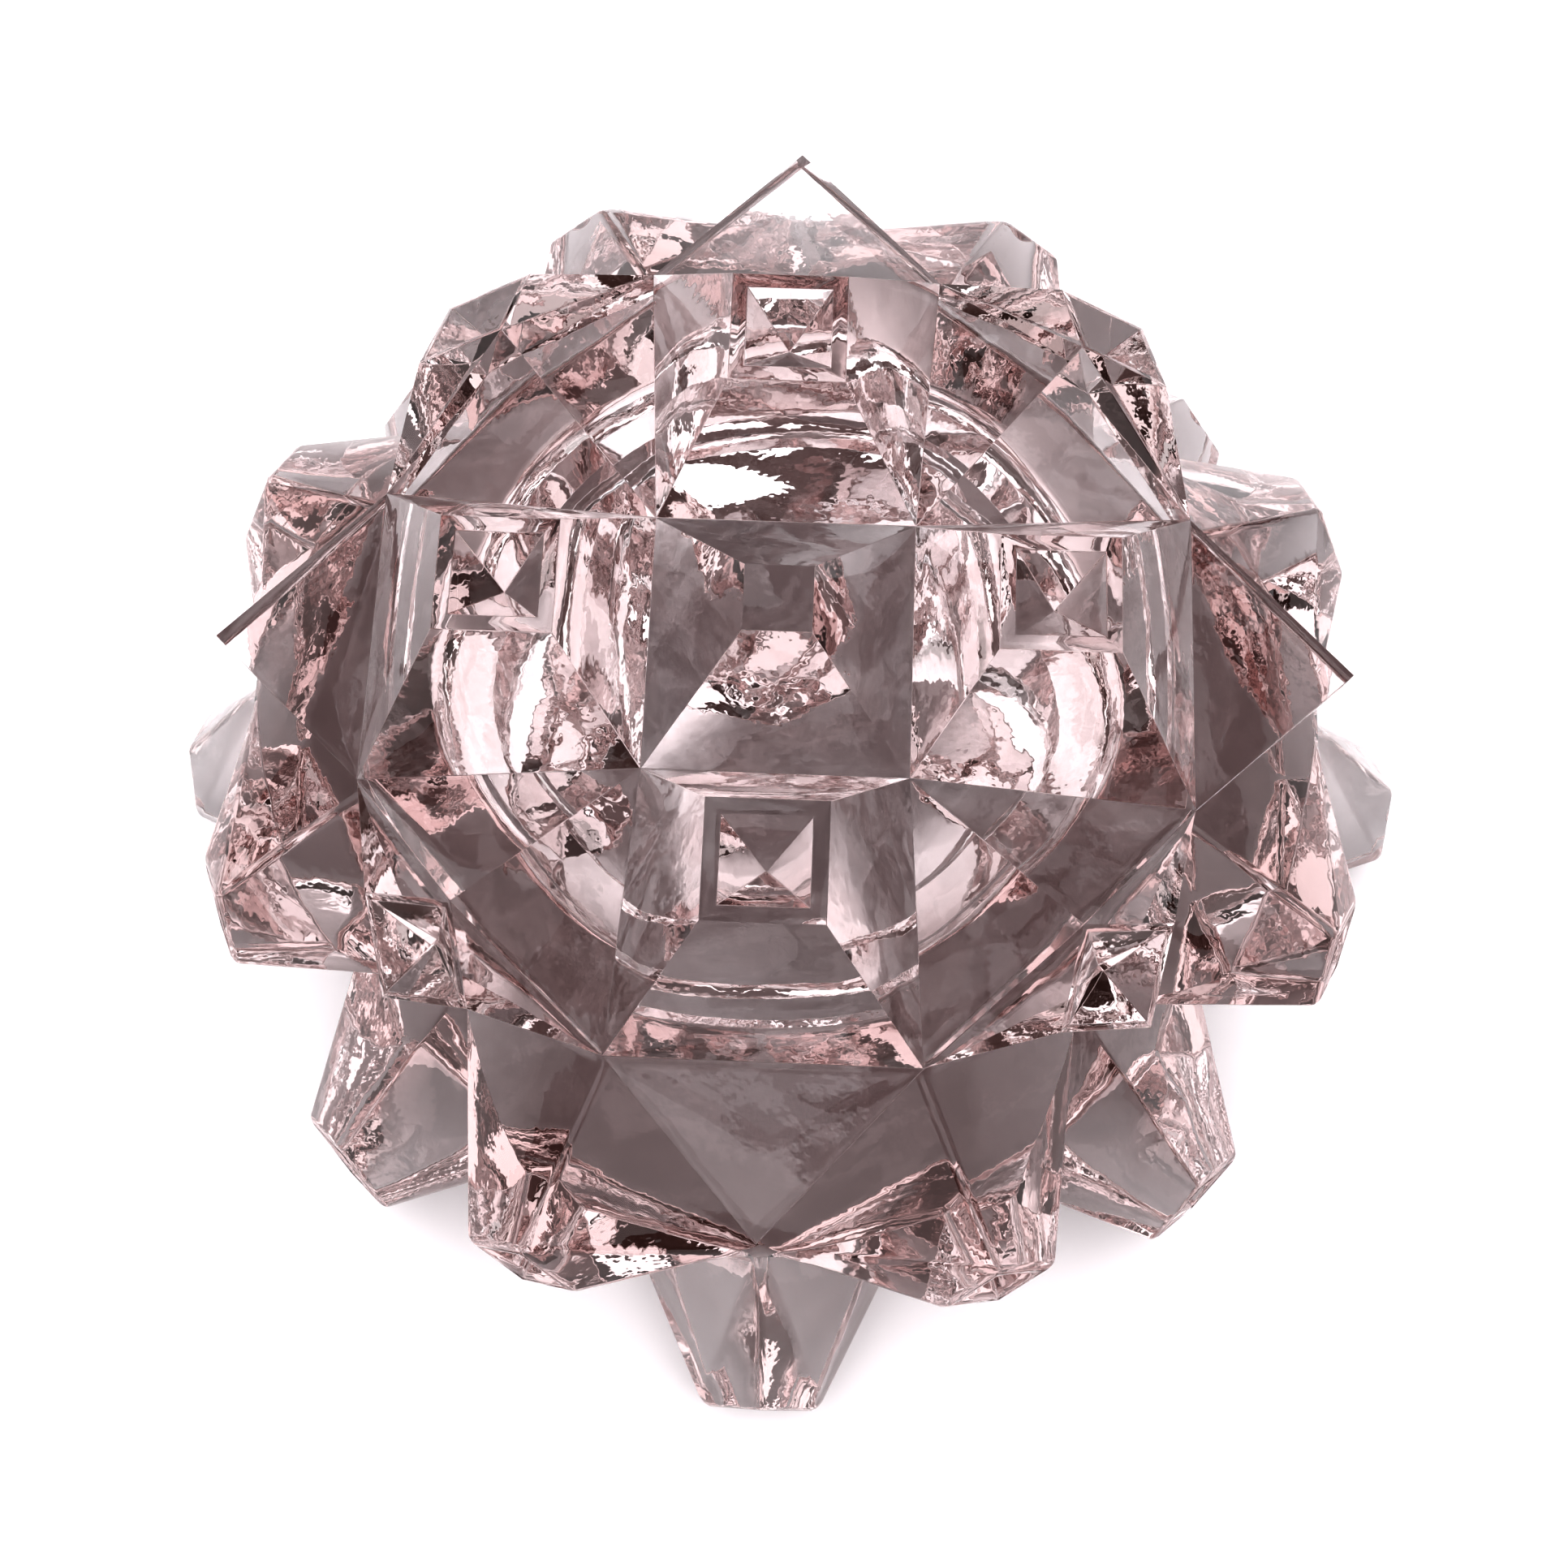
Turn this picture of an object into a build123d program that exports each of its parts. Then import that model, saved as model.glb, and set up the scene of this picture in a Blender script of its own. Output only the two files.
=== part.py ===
from build123d import *
import os
from math import cos, radians, sin, sqrt

os.makedirs("parts", exist_ok=True)

# Powder jar of heavy pressed crystal: a footed bowl and a lift-off lid, both covered in
# square-ended studs like a hedgehog. Millimetres, +Z up, the origin in the middle of the
# underside. Both pieces repeat every quarter turn; a quarter is drawn about the +X axis.

# ---- where the two pieces meet
SEAT_HEIGHT = 57.0          # table to the flat rim that the lid sits on
MOUTH_RADIUS = 32.0         # round mouth of the bowl
RING_CLEARANCE = 0.5        # between the mouth and the lid's locating ring, all round
ARM_REACH = 39.3            # axis to the outer edge of each of the four arms at the seat
ARM_HALF_WIDTH = 14.5       # half the width of that edge

# ---- lid
PLATE_THICKNESS = 5.0       # glass under the valleys between the studs
CELL_SIDE = 25.2            # square that the middle knob stands on
KNOB_SIDE = 6.2             # flat top of the knob
KNOB_RISE = 12.9            # valleys to the top of the knob
STUD_REACH = 24.3           # axis to the middle of each side stud's top
STUD_SIDE = 10.5            # square top of a side stud
STUD_RISE = 16.5            # valleys to the top of a side stud
STUD_PIT_SIDE = 7.7
STUD_PIT_DEPTH = 4.6
CORNER_REACH = 44.0         # axis to the middle of each corner stud's end
CORNER_RISE = 4.2           # valleys to the middle of that end
CORNER_SIDE = 10.1
CORNER_FACING = 48.0        # how far above level a corner stud faces, degrees
CORNER_PIT_SIDE = 8.7
CORNER_PIT_DEPTH = 3.0
ARM_DROP = 0.7              # valleys to the lid's outer edge
CORNER_FOOT = 42.0          # axis to the lid's underside below a corner stud
WING_LENGTH = 15.9          # how far each finger grip stands out past its arm
WING_DROP = 3.0             # valleys to the top of that tip
WING_THICKNESS = 5.8
RING_DEPTH = 4.0            # how far the locating ring reaches into the mouth
RING_WIDTH = 4.5

# ---- bowl
CAVITY_DEPTH = 45.0
CAVITY_TAPER = 4.0          # how much narrower the cavity is at its floor, on the radius
CAVITY_FLOOR_FILLET = 12.0
RIM_CORNER = 39.2           # axis to the rim's corner, between two arms
NOTCH_REACH = 43.8          # deepest point between two arms, below the rim's corner
NOTCH_DROP = 13.0           # drops are from the seat down
VALLEY_REACH = 56.0         # point between the two shoulder studs of an arm
VALLEY_DROP = 14.5
WAIST_REACH = 50.0          # point below a shoulder stud, between two feet
WAIST_HEIGHT = 25.0
WAIST_TURN = 22.5           # quarter axis to that point, degrees
UNDERSIDE_REACH = 44.0      # corners of the flat underside

# Every stud's end is a square stood on one corner, placed by its middle; facing is how far
# above level it looks, in degrees.
SHOULDER_TURN = 22.1        # quarter axis to a shoulder stud, degrees
SHOULDER_REACH = 63.3
SHOULDER_DROP = 17.7
SHOULDER_SIDE = 8.8
SHOULDER_FACING = 16.5
ARM_FOOT_REACH = 74.2       # foot below each arm
ARM_FOOT_HEIGHT = 7.6
ARM_FOOT_SIDE = 9.8
ARM_FOOT_FACING = 4.0
NOTCH_FOOT_REACH = 69.0     # foot below each notch
NOTCH_FOOT_HEIGHT = 15.0
NOTCH_FOOT_SIDE = 10.2
NOTCH_FOOT_FACING = 12.0
PIT_MARGIN = 1.5            # glass left round the pit in an outer stud's end
PIT_DEPTH = 3.2

# ---- lines that follow
QUARTER = 90.0
EIGHTH = 45.0
VALLEY_HEIGHT = SEAT_HEIGHT + PLATE_THICKNESS
OVERCUT = 1.0               # how far a cutter stands proud of the glass
RING_ROOT = 1.0             # how far the locating ring is rooted in the plate


def polar(reach, turn, height):
    """Point at a distance and a turn from the upright axis."""
    return Vector(reach * cos(radians(turn)), reach * sin(radians(turn)), height)


def mirrored(point):
    """The same point on the other side of the quarter's own axis."""
    return Vector(point.X, -point.Y, point.Z)


def diamond_end(turn, reach, height, side, facing):
    """Corners of a stud's square end, stood on one corner: top, left, bottom, right."""
    middle = polar(reach, turn, height)
    half = side / sqrt(2)
    across = polar(half, turn + QUARTER, 0)
    up = polar(-half * sin(radians(facing)), turn, half * cos(radians(facing)))
    return [middle + up, middle - across, middle - up, middle + across]


def facets(loop):
    """Flat faces of a loop: whole if it is flat, or folded outwards on one diagonal."""
    if len(loop) != 4:
        return [loop]
    a, b, c, d = loop
    bulge = (b - a).cross(c - a).dot(d - a)
    if abs(bulge) < 1e-6:
        return [loop]
    if bulge < 0:
        return [[a, b, c], [a, c, d]]
    return [[a, b, d], [b, c, d]]


def closed_solid(loops):
    """Solid inside a closed skin of loops that run anticlockwise seen from outside."""
    flat = [face for loop in loops for face in facets(loop)]
    skin = [Face(Wire.make_polygon(points, close=True)) for points in flat]
    return Solid(Shell(skin))


def repeated(loops):
    """The loops of one quarter, and the same turned to the other three."""
    turns = [QUARTER * step for step in range(4)]
    return [[point.rotate(Axis.Z, turn) for point in loop] for turn in turns for loop in loops]


def both_sides(loops):
    """Loops and their mirror images, which run the other way round."""
    return loops + [[mirrored(point) for point in reversed(loop)] for loop in loops]


def pit(end, side, depth):
    """Cutter for the four-sided pit sunk into the middle of a stud's square end."""
    middle = (end[0] + end[2]) * 0.5
    outward = (end[0] - middle).cross(end[1] - middle).normalized()
    apex = middle - outward * depth
    share = side / (end[1] - end[0]).length
    flare = 1 + OVERCUT / depth
    mouth = [middle + (corner - middle) * share for corner in end]
    proud = [apex + (corner - apex) * flare for corner in mouth]
    walls = [[proud[(i + 1) % 4], proud[i], apex] for i in range(4)]
    return closed_solid(walls + [proud])


def without(solid, cutter, turns):
    """The solid less the cutter, at each of the turns about the upright axis."""
    for turn in turns:
        solid = solid - cutter.rotate(Axis.Z, turn)
    return solid


def square_top(reach, side, height):
    """Corners of a level square top centred on the quarter's own axis."""
    half = side / 2
    return [
        Vector(reach + half, half, height),
        Vector(reach - half, half, height),
        Vector(reach - half, -half, height),
        Vector(reach + half, -half, height),
    ]


def arm_corner(height):
    """End of an arm's outer edge, on the positive side of the quarter's own axis."""
    return Vector(ARM_REACH, ARM_HALF_WIDTH, height)


# ---- lid: a faceted plate with a knob, four side studs, four corner studs and four finger
# grips, pressed in one piece with the ring that drops into the bowl's mouth

def lid_skin(stud_top, corner_end):
    """Closed skin of the lid, before its pits are sunk and its ring is added."""
    cell = Vector(CELL_SIDE / 2, CELL_SIDE / 2, VALLEY_HEIGHT)
    knob = Vector(KNOB_SIDE / 2, KNOB_SIDE / 2, VALLEY_HEIGHT + KNOB_RISE)
    edge = arm_corner(VALLEY_HEIGHT - ARM_DROP)
    edge_foot = arm_corner(SEAT_HEIGHT)
    corner_foot = polar(CORNER_FOOT, EIGHTH, SEAT_HEIGHT)
    tip = Vector(ARM_REACH + WING_LENGTH, 0, VALLEY_HEIGHT - WING_DROP)
    tip_foot = tip - Vector(0, 0, WING_THICKNESS)
    top, left, bottom, _ = corner_end
    stud_outer, stud_inner, far_inner, far_outer = stud_top

    beside = [
        [edge, cell, stud_inner, stud_outer],
        [cell, edge, left, top],
        [tip, tip_foot, edge_foot, edge],
        [edge, edge_foot, corner_foot],
        [edge, corner_foot, left],
        [left, corner_foot, bottom],
    ]
    across = [
        [mirrored(cell), cell, knob, mirrored(knob)],
        [cell, mirrored(cell), far_inner, stud_inner],
        [mirrored(edge), edge, stud_outer, far_outer],
        [mirrored(edge), tip, edge],
        [mirrored(edge_foot), edge_foot, tip_foot],
        stud_top,
        corner_end,
    ]
    knob_top = [knob.rotate(Axis.Z, QUARTER * step) for step in range(4)]
    foot = repeated([[mirrored(edge_foot), edge_foot, corner_foot]])
    underside = [point for loop in foot for point in loop]
    return repeated(both_sides(beside) + across) + [knob_top, underside[::-1]]


def make_lid():
    stud_top = square_top(STUD_REACH, STUD_SIDE, VALLEY_HEIGHT + STUD_RISE)
    corner_height = VALLEY_HEIGHT + CORNER_RISE
    corner_end = diamond_end(EIGHTH, CORNER_REACH, corner_height, CORNER_SIDE, CORNER_FACING)
    quarters = [QUARTER * step for step in range(4)]
    lid = closed_solid(lid_skin(stud_top, corner_end))
    lid = without(lid, pit(stud_top, STUD_PIT_SIDE, STUD_PIT_DEPTH), quarters)
    lid = without(lid, pit(corner_end, CORNER_PIT_SIDE, CORNER_PIT_DEPTH), quarters)
    return lid + locating_ring()


def locating_ring():
    """Ring under the plate that drops into the mouth and keeps the lid in the middle."""
    outer = MOUTH_RADIUS - RING_CLEARANCE
    depth = RING_DEPTH + RING_ROOT
    ring = Cylinder(outer, depth) - Cylinder(outer - RING_WIDTH, depth)
    return Pos(0, 0, SEAT_HEIGHT + RING_ROOT - depth / 2) * ring


# ---- bowl: four arms, each with two shoulder studs and a foot below, and four more feet
# in the notches between the arms

def bowl_skin(shoulder_end, arm_foot, notch_foot):
    """Closed skin of the bowl, before its cavity and its pits are sunk."""
    edge = arm_corner(SEAT_HEIGHT)
    rim_corner = polar(RIM_CORNER, EIGHTH, SEAT_HEIGHT)
    notch = polar(NOTCH_REACH, EIGHTH, SEAT_HEIGHT - NOTCH_DROP)
    valley = polar(VALLEY_REACH, 0, SEAT_HEIGHT - VALLEY_DROP)
    waist = polar(WAIST_REACH, WAIST_TURN, WAIST_HEIGHT)
    under_arm = polar(UNDERSIDE_REACH, 0, 0)
    under_notch = polar(UNDERSIDE_REACH, EIGHTH, 0)
    top, left, bottom, right = shoulder_end
    beside = [
        [edge, valley, left, top],
        [edge, top, right, notch],
        [edge, notch, rim_corner],
        [valley, waist, bottom, left],
        [notch, right, bottom, waist],
        [valley, arm_foot[0], arm_foot[3], waist],
        [waist, arm_foot[3], arm_foot[2], under_arm],
        [notch, waist, notch_foot[1], notch_foot[0]],
        [waist, under_notch, notch_foot[2], notch_foot[1]],
        [waist, under_arm, under_notch],
        shoulder_end,
    ]
    across = [[mirrored(edge), valley, edge], arm_foot, notch_foot]
    rim = [point for loop in repeated([[mirrored(edge), edge, rim_corner]]) for point in loop]
    foot = [point for loop in repeated([[under_arm, under_notch]]) for point in loop]
    return repeated(both_sides(beside) + across) + [rim, foot[::-1]]


def cavity():
    """Round hollow for the powder and its puff: straight at the lip, then tapering."""
    floor = SEAT_HEIGHT - CAVITY_DEPTH
    floor_radius = MOUTH_RADIUS - CAVITY_TAPER
    lip = SEAT_HEIGHT - RING_DEPTH - RING_CLEARANCE
    outline = Polyline(
        (0, floor),
        (floor_radius, floor),
        (MOUTH_RADIUS, lip),
        (MOUTH_RADIUS, SEAT_HEIGHT + OVERCUT),
        (0, SEAT_HEIGHT + OVERCUT),
        close=True,
    )
    hollow = revolve(make_face(Plane.XZ * outline), Axis.Z)
    floor_edge = hollow.edges().filter_by(GeomType.CIRCLE).sort_by(Axis.Z)[0]
    return fillet(floor_edge, CAVITY_FLOOR_FILLET)


def make_bowl():
    shoulder_height = SEAT_HEIGHT - SHOULDER_DROP
    shoulder_end = diamond_end(
        SHOULDER_TURN, SHOULDER_REACH, shoulder_height, SHOULDER_SIDE, SHOULDER_FACING
    )
    arm_foot = diamond_end(0, ARM_FOOT_REACH, ARM_FOOT_HEIGHT, ARM_FOOT_SIDE, ARM_FOOT_FACING)
    notch_foot = diamond_end(
        EIGHTH, NOTCH_FOOT_REACH, NOTCH_FOOT_HEIGHT, NOTCH_FOOT_SIDE, NOTCH_FOOT_FACING
    )
    quarters = [QUARTER * step for step in range(4)]
    shoulders = quarters + [turn - 2 * SHOULDER_TURN for turn in quarters]
    bowl = closed_solid(bowl_skin(shoulder_end, arm_foot, notch_foot)) - cavity()
    bowl = without(bowl, pit(shoulder_end, SHOULDER_SIDE - 2 * PIT_MARGIN, PIT_DEPTH), shoulders)
    bowl = without(bowl, pit(arm_foot, ARM_FOOT_SIDE - 2 * PIT_MARGIN, PIT_DEPTH), quarters)
    return without(bowl, pit(notch_foot, NOTCH_FOOT_SIDE - 2 * PIT_MARGIN, PIT_DEPTH), quarters)


export_step(make_bowl(), "parts/bowl.step")
export_step(make_lid(), "parts/lid.step")
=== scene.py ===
from math import cos, pi, radians, sin

import bpy
from mathutils import Matrix, Vector


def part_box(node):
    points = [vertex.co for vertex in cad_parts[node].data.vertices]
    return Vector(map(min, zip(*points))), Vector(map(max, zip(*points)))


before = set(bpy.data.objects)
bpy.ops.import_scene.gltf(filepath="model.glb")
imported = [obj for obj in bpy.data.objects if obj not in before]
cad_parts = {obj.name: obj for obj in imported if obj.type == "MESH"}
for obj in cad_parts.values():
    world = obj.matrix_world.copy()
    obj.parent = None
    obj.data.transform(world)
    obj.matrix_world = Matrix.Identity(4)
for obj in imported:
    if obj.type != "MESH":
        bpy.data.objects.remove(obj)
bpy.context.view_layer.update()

# ---- camera ------------------------------------------------------------------------
# Looks down on the lid from the front, close enough for the feet to draw small.
# It is turned a little about its own axis.

LID_VALLEY_RISE = 0.005                 # valleys of the lid above the seat
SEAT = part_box("bowl")[1].z
AIM = Vector((0.0009, -0.0136, SEAT + LID_VALLEY_RISE))
AZIMUTH = radians(5.1)
ELEVATION = radians(75.75)
ROLL = radians(-2.85)
DISTANCE = 0.1595
LENS = 39.3
SENSOR = 36
NEAREST_SEEN = 0.01

backward = Vector((
    sin(AZIMUTH) * cos(ELEVATION),
    -cos(AZIMUTH) * cos(ELEVATION),
    sin(ELEVATION),
))
level_right = Vector((cos(AZIMUTH), sin(AZIMUTH), 0))
level_up = backward.cross(level_right)
right = cos(ROLL) * level_right + sin(ROLL) * level_up
up = cos(ROLL) * level_up - sin(ROLL) * level_right
turn = Matrix((right, up, backward)).transposed().to_4x4()

camera = bpy.data.objects.new("camera", bpy.data.cameras.new("camera"))
bpy.context.scene.collection.objects.link(camera)
camera.data.sensor_width = SENSOR
camera.data.lens = LENS
camera.data.clip_start = NEAREST_SEEN
camera.matrix_world = Matrix.Translation(AIM + backward * DISTANCE) @ turn
bpy.context.scene.camera = camera

# ---- floor -------------------------------------------------------------------------
# A plain pale sheet of paper under the jar. It runs on far behind, where its paint is
# lit evenly, so that it has no visible end.

FLOOR_HALF = 25
FLOOR_PALE = (0.93, 0.92, 0.93, 1)
FLOOR_ROUGHNESS = 0.9
EVEN_FROM = 0.30                        # the paint is lit evenly from here out
EVEN_TO = 0.55
BLACK = (0, 0, 0, 1)
WHITE = (1, 1, 1, 1)


def ramp(nodes, links, factor, stops):
    """Colour ramp with the given (position, colour) stops."""
    node = nodes.new("ShaderNodeValToRGB")
    band = node.color_ramp
    for element, (position, colour) in zip(band.elements, (stops[0], stops[-1])):
        element.position = position
        element.color = colour
    for position, colour in stops[1:-1]:
        band.elements.new(position).color = colour
    links.new(factor, node.inputs["Fac"])
    return node.outputs["Color"]


floor_mesh = bpy.data.meshes.new("floor")
floor_mesh.from_pydata([
    (-FLOOR_HALF, -FLOOR_HALF, 0),
    (FLOOR_HALF, -FLOOR_HALF, 0),
    (FLOOR_HALF, FLOOR_HALF, 0),
    (-FLOOR_HALF, FLOOR_HALF, 0),
], [], [(0, 1, 2, 3)])
floor = bpy.data.objects.new("floor", floor_mesh)
bpy.context.scene.collection.objects.link(floor)

floor_paint = bpy.data.materials.new("floor_paint")
floor_paint.use_nodes = True
nodes, links = floor_paint.node_tree.nodes, floor_paint.node_tree.links
paint = nodes["Principled BSDF"]
paint.inputs["Base Color"].default_value = FLOOR_PALE
paint.inputs["Roughness"].default_value = FLOOR_ROUGHNESS
even_light = nodes.new("ShaderNodeEmission")
even_light.inputs["Color"].default_value = FLOOR_PALE
out_from_jar = nodes.new("ShaderNodeVectorMath")
out_from_jar.operation = "LENGTH"
links.new(nodes.new("ShaderNodeTexCoord").outputs["Object"], out_from_jar.inputs[0])
evenness = ramp(nodes, links, out_from_jar.outputs["Value"], ((EVEN_FROM, BLACK), (EVEN_TO, WHITE)))
even = nodes.new("ShaderNodeMixShader")
links.new(evenness, even.inputs["Fac"])
links.new(paint.outputs["BSDF"], even.inputs[1])
links.new(even_light.outputs["Emission"], even.inputs[2])
links.new(even.outputs["Shader"], nodes["Material Output"].inputs["Surface"])
floor_mesh.materials.append(floor_paint)

# ---- studio light ------------------------------------------------------------------
# One big soft light for the floor, soft cards that the glass shows, and a dim warm
# room with a pale backdrop. Light may pass many faces, because the jar is all facets.

ROOM_LOW = (0.030, 0.012, 0.010, 1)
ROOM_MIDDLE = (0.085, 0.042, 0.036, 1)
ROOM_HIGH = (0.22, 0.16, 0.16, 1)
ROOM_MIDDLE_RISE = 0.35                 # how far up the room each colour stands
ROOM_HIGH_RISE = 0.9
KEY_PLACE = (0.0, 0.1, 1.3)
KEY_SIDE = 1.6
KEY_BRIGHTNESS = 3.0
KEY_COLOUR = (1.0, 0.99, 1.0)
CARD_DISTANCE = 0.9
CARDS = (
    # bearing, width, low edge, high edge, brightness, colour
    (98, 0.46, 0.10, 0.85, 1.9, (0.93, 0.97, 1.0)),
    (142, 0.42, 0.06, 0.60, 2.0, (0.94, 0.97, 1.0)),
    (178, 0.38, 0.10, 0.75, 1.6, (0.96, 0.98, 1.0)),
    (222, 0.38, 0.12, 0.50, 1.5, (0.98, 0.98, 1.0)),
    (262, 0.44, 0.15, 0.70, 1.4, (0.98, 0.98, 1.0)),
    (305, 0.36, 0.10, 0.55, 1.6, (0.98, 0.98, 1.0)),
    (345, 0.38, 0.12, 0.75, 1.7, (0.96, 0.98, 1.0)),
    (32, 0.46, 0.08, 0.65, 1.9, (0.94, 0.97, 1.0)),
)
PANELS = (
    # place, width, depth, brightness, colour
    ((-0.30, 0.28, 0.95), 0.46, 0.40, 1.6, (0.96, 0.98, 1.0)),
    ((0.34, 0.12, 0.95), 0.38, 0.56, 1.6, (0.98, 0.98, 1.0)),
    ((-0.12, -0.40, 0.92), 0.56, 0.26, 1.6, (0.98, 0.98, 1.0)),
)
VIEW_GAMMA = 0.70
VIEW_EXPOSURE = 0.0
MOST_BOUNCES = 24
MOST_REFLECTIONS = 20

scene = bpy.context.scene
scene.view_settings.view_transform = "Standard"
scene.view_settings.gamma = VIEW_GAMMA
scene.view_settings.exposure = VIEW_EXPOSURE
scene.cycles.max_bounces = MOST_BOUNCES
scene.cycles.glossy_bounces = MOST_REFLECTIONS
scene.cycles.transmission_bounces = MOST_BOUNCES

world = bpy.data.worlds.new("studio")
scene.world = world
world.use_nodes = True
nodes, links = world.node_tree.nodes, world.node_tree.links
direction = nodes.new("ShaderNodeSeparateXYZ")
links.new(nodes.new("ShaderNodeTexCoord").outputs["Generated"], direction.inputs["Vector"])
room = ramp(nodes, links, direction.outputs["Z"], (
    (0.0, ROOM_LOW),
    (ROOM_MIDDLE_RISE, ROOM_MIDDLE),
    (ROOM_HIGH_RISE, ROOM_HIGH),
))
backdrop = nodes.new("ShaderNodeMix")
backdrop.data_type = "RGBA"
links.new(nodes.new("ShaderNodeLightPath").outputs["Is Camera Ray"], backdrop.inputs[0])
links.new(room, backdrop.inputs[6])
backdrop.inputs[7].default_value = FLOOR_PALE
links.new(backdrop.outputs[2], nodes["Background"].inputs["Color"])


def soft_light(name, place, width, height, brightness, colour):
    """Rectangular soft light facing the jar; power = pi * area * brightness."""
    lamp = bpy.data.lights.new(name, "AREA")
    lamp.shape = "RECTANGLE"
    lamp.size = width
    lamp.size_y = height
    lamp.energy = pi * width * height * brightness
    lamp.color = colour
    holder = bpy.data.objects.new(name, lamp)
    bpy.context.scene.collection.objects.link(holder)
    holder.location = place
    holder.rotation_euler = (AIM - Vector(place)).to_track_quat("-Z", "Y").to_euler()
    return holder


key = soft_light("key", KEY_PLACE, KEY_SIDE, KEY_SIDE, KEY_BRIGHTNESS, KEY_COLOUR)
key.visible_glossy = False
key.visible_transmission = False
for bearing, width, low, high, brightness, colour in CARDS:
    x, y = CARD_DISTANCE * cos(radians(bearing)), CARD_DISTANCE * sin(radians(bearing))
    soft_light("card_%d" % bearing, (x, y, (low + high) / 2), width, high - low, brightness, colour)
for place, width, depth, brightness, colour in PANELS:
    soft_light("panel", place, width, depth, brightness, colour)

# ---- bowl --------------------------------------------------------------------------
# Heavy pressed glass bowl, dusty mauve all through, standing on its flat underside.
# It is pressed in a mould and fire-polished, so edges are soft and faces a little wavy.

BOWL_TINT = (0.992, 0.982, 0.986, 1)
GLASS_BEND = 1.53
GLASS_DEPTH_TINT = (0.70, 0.52, 0.50, 1)
GLASS_DEPTH = 12.0                      # how strongly the depth of glass takes up light
DEEPER_SHARE = 0.97                     # tint of the deeper patches against the rest
PATCH_FROM = 0.35
PATCH_TO = 0.7
HAZE = (0.05, 0.05, 0.05, 1)            # roughness where the skin is haziest
HAZE_FROM = 0.5
HAZE_TO = 0.8
PATCHES_PER_WAVE = 0.5
CHILL_PER_WAVE = 11                     # fine chill grains to one mould wave
WAVE_BEND = 0.6
WAVE_DEPTH = 0.0008
WAVE_STRENGTH = 0.45
CHILL_DEPTH = 0.00003
CHILL_STRENGTH = 0.5
BOWL_WAVES = 70                         # waves per metre left by the mould
BOWL_TURN = (0.3, 0.5, 0.2)             # turns the waves off the axes
BOWL_EDGE = 0.0008                      # radius that fire-polishing leaves
EDGE_ANGLE = radians(12)                # flatter edges than this stay as they are
EDGE_STEPS = 3
SEAT_AIR = 0.00004                      # air left between lid and rim
WELD_REACH = 0.00001


def noise(nodes, links, place, scale, detail, distortion=0.0):
    """Noise texture read at place."""
    node = nodes.new("ShaderNodeTexNoise")
    node.inputs["Scale"].default_value = scale
    node.inputs["Detail"].default_value = detail
    node.inputs["Distortion"].default_value = distortion
    links.new(place, node.inputs["Vector"])
    return node.outputs["Fac"]


def bump(nodes, links, height, depth, strength):
    """Bump of the given depth where height is 1."""
    node = nodes.new("ShaderNodeBump")
    node.inputs["Distance"].default_value = depth
    node.inputs["Strength"].default_value = strength
    links.new(height, node.inputs["Height"])
    return node


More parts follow.
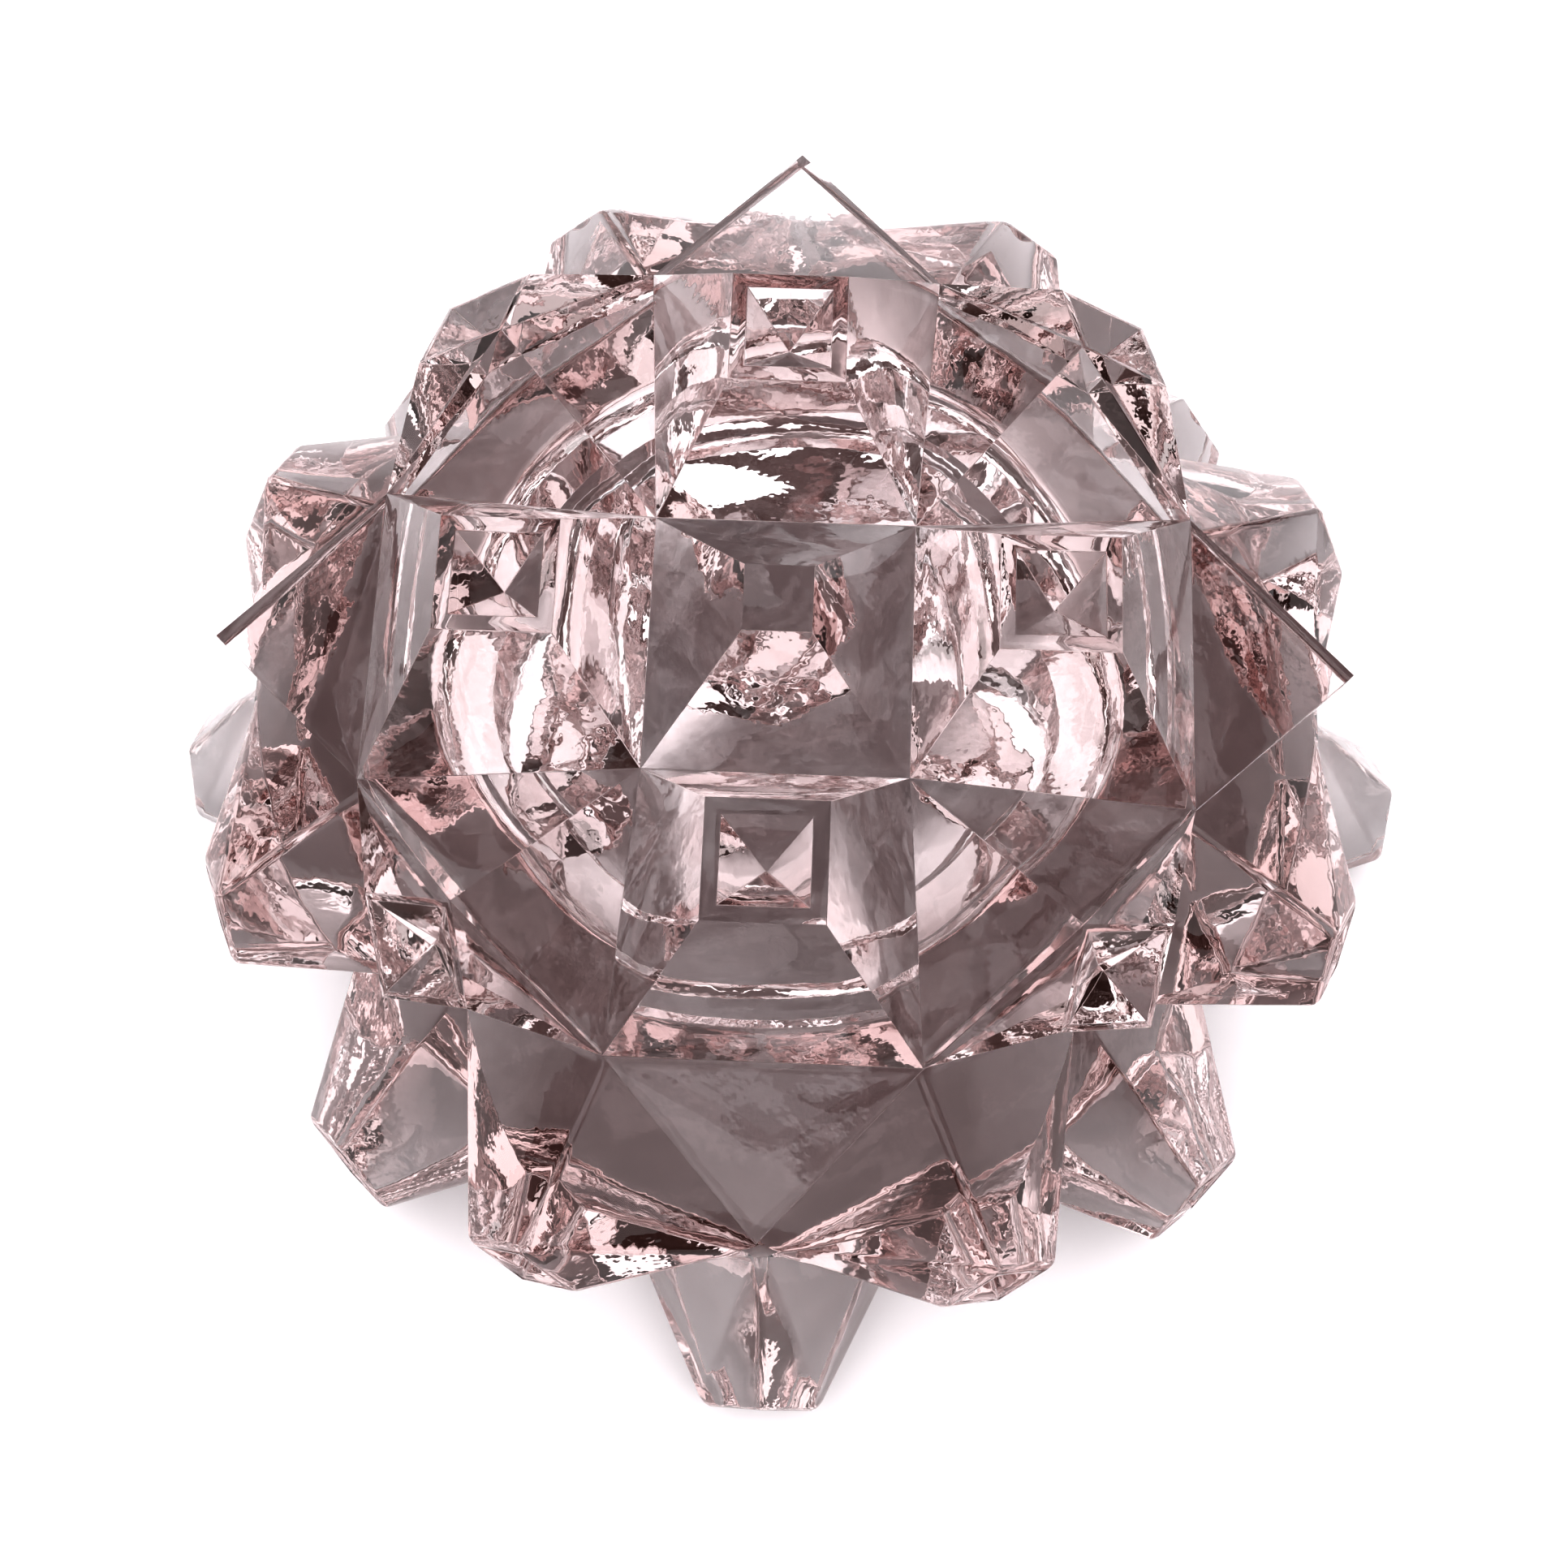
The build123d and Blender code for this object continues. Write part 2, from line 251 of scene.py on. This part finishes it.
def pressed_glass(name, tint, waves, turn):
    """Clear tinted glass: slow mould waves, fine chill grain and a mauve depth tint."""
    material = bpy.data.materials.new(name)
    material.use_nodes = True
    nodes, links = material.node_tree.nodes, material.node_tree.links
    shader = nodes["Principled BSDF"]
    shader.inputs["IOR"].default_value = GLASS_BEND
    shader.inputs["Transmission Weight"].default_value = 1.0
    depth = nodes.new("ShaderNodeVolumeAbsorption")
    depth.inputs["Color"].default_value = GLASS_DEPTH_TINT
    depth.inputs["Density"].default_value = GLASS_DEPTH
    links.new(depth.outputs["Volume"], nodes["Material Output"].inputs["Volume"])
    mapping = nodes.new("ShaderNodeMapping")
    mapping.inputs["Rotation"].default_value = turn
    links.new(nodes.new("ShaderNodeTexCoord").outputs["Object"], mapping.inputs["Vector"])
    place = mapping.outputs["Vector"]
    slow = noise(nodes, links, place, waves, 1.0, WAVE_BEND)
    chill = noise(nodes, links, place, waves * CHILL_PER_WAVE, 1.0)
    patches = noise(nodes, links, place, waves * PATCHES_PER_WAVE, 2.0)
    mould = bump(nodes, links, slow, WAVE_DEPTH, WAVE_STRENGTH)
    skin = bump(nodes, links, chill, CHILL_DEPTH, CHILL_STRENGTH)
    links.new(mould.outputs["Normal"], skin.inputs["Normal"])
    links.new(skin.outputs["Normal"], shader.inputs["Normal"])
    deeper = tuple(share * DEEPER_SHARE for share in tint[:3]) + (1,)
    body = ramp(nodes, links, patches, ((PATCH_FROM, tint), (PATCH_TO, deeper)))
    links.new(body, shader.inputs["Base Color"])
    haze = ramp(nodes, links, patches, ((HAZE_FROM, BLACK), (HAZE_TO, HAZE)))
    links.new(haze, shader.inputs["Roughness"])
    return material


def fire_polish(piece, edge):
    """Join the loose triangles, draw the skin in by SEAT_AIR and round every edge."""
    weld = piece.modifiers.new("weld", "WELD")
    weld.merge_threshold = WELD_REACH
    air = piece.modifiers.new("air", "DISPLACE")
    air.mid_level = 0
    air.strength = -SEAT_AIR
    polish = piece.modifiers.new("polish", "BEVEL")
    polish.width = edge
    polish.segments = EDGE_STEPS
    polish.limit_method = "ANGLE"
    polish.angle_limit = EDGE_ANGLE
    polish.harden_normals = True


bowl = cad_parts["bowl"]
bowl.data.materials.clear()
bowl.data.materials.append(pressed_glass("bowl_glass", BOWL_TINT, BOWL_WAVES, BOWL_TURN))
bowl.data.shade_smooth()
fire_polish(bowl, BOWL_EDGE)

# ---- lid ---------------------------------------------------------------------------
# One pressed piece: a plate with a ring below, four hollow-topped studs, four corner
# studs, the knob and four grips. It lies on the rim, and the ring keeps it in place.

LID_TINT = (0.995, 0.987, 0.990, 1)
LID_WAVES = 85
LID_TURN = (0.9, 0.1, 0.7)
LID_EDGE = 0.0007

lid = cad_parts["lid"]
lid.data.materials.clear()
lid.data.materials.append(pressed_glass("lid_glass", LID_TINT, LID_WAVES, LID_TURN))
lid.data.shade_smooth()
fire_polish(lid, LID_EDGE)
